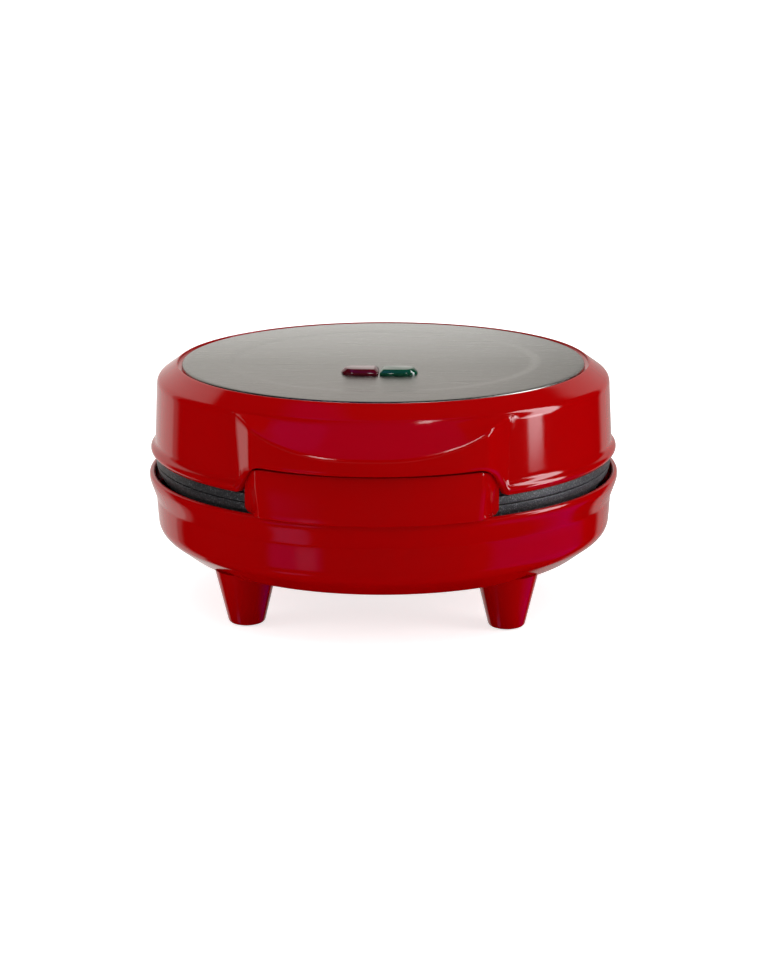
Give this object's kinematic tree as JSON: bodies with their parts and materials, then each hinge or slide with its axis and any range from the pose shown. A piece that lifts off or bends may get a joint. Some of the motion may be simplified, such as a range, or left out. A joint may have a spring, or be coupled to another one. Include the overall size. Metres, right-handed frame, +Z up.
{
  "type": "donut maker",
  "caption": "Round hinged countertop baker with ring-shaped moulds in two facing cast plates, a steel-topped lid with two indicator lenses, and a raised base on feet",
  "frame": {"origin": "on the floor below the middle of the round body", "axes": "+Z up, +Y towards the hinge at the back, so the handle grip is at -Y and +X is on the right as seen from the front"},
  "size_m": [0.2078, 0.224, 0.1068],
  "materials": {
    "red_shell": "gloss",
    "rubber_feet": "matt",
    "bush_nylon": "matt",
    "steel_pins": "ground",
    "coated_cast_aluminium": "satin non-stick coating",
    "element_sheath": "oxidised",
    "zinc_steel": "zinc plated",
    "bright_reflector": "bright rolled",
    "thermostat_body": "ceramic",
    "terminal_plastic": "natural nylon",
    "brass_parts": "plain",
    "brown_insulation": "silicone",
    "blue_insulation": "silicone",
    "green_insulation": "silicone",
    "sleeve": "braided glass",
    "brushed_steel_disc": "fine brushed",
    "red_lens": "gloss",
    "green_lens": "gloss",
    "lamp_glass": "clear"
  },
  "bodies": {
    "base": {"base_shell": "red_shell", "front_left_foot": "red_shell", "front_right_foot": "red_shell", "rear_left_foot": "red_shell", "rear_right_foot": "red_shell", "front_left_foot_pad": "rubber_feet", "front_right_foot_pad": "rubber_feet", "rear_left_foot_pad": "rubber_feet", "rear_right_foot_pad": "rubber_feet", "cord_inlet_bush": "bush_nylon", "left_hinge_pin": "steel_pins", "right_hinge_pin": "steel_pins", "lower_plate": "coated_cast_aluminium", "lower_element": "element_sheath", "lower_element_clamps": "zinc_steel", "lower_clamp_screws": "zinc_steel", "lower_reflector": "bright_reflector", "lower_plate_screws": "zinc_steel", "thermostat": "thermostat_body", "thermostat_screws": "zinc_steel", "terminal_block": "terminal_plastic", "terminal_screws": "brass_parts", "terminal_block_screws": "zinc_steel", "earth_lug": "brass_parts", "earth_screw": "zinc_steel", "live_lead": "brown_insulation", "switched_lead": "brown_insulation", "neutral_lead": "blue_insulation", "earth_lead": "green_insulation", "base_hinge_lead": "sleeve"},
    "lid": {"lid_shell": "red_shell", "top_disc": "brushed_steel_disc", "disc_clips": "zinc_steel", "red_lens": "red_lens", "green_lens": "green_lens", "lamp_holder": "terminal_plastic", "lamp_holder_screws": "zinc_steel", "red_lamp": "lamp_glass", "green_lamp": "lamp_glass", "handle_grip": "red_shell", "handle_screws": "zinc_steel", "upper_plate": "coated_cast_aluminium", "upper_element": "element_sheath", "upper_element_clamps": "zinc_steel", "upper_clamp_screws": "zinc_steel", "upper_reflector": "bright_reflector", "upper_plate_screws": "zinc_steel", "thermal_fuse": "brass_parts", "fuse_clip": "zinc_steel", "lid_hinge_lead": "sleeve", "element_leads": "sleeve", "lamp_leads": "sleeve"}
  },
  "joints": [
    {"name": "lid_hinge", "type": "hinge", "parent": "base", "child": "lid", "pos_m": [0, 0.107, 0.06115], "axis": [-1, 0, 0], "range_deg": [0, 100]}
  ]
}
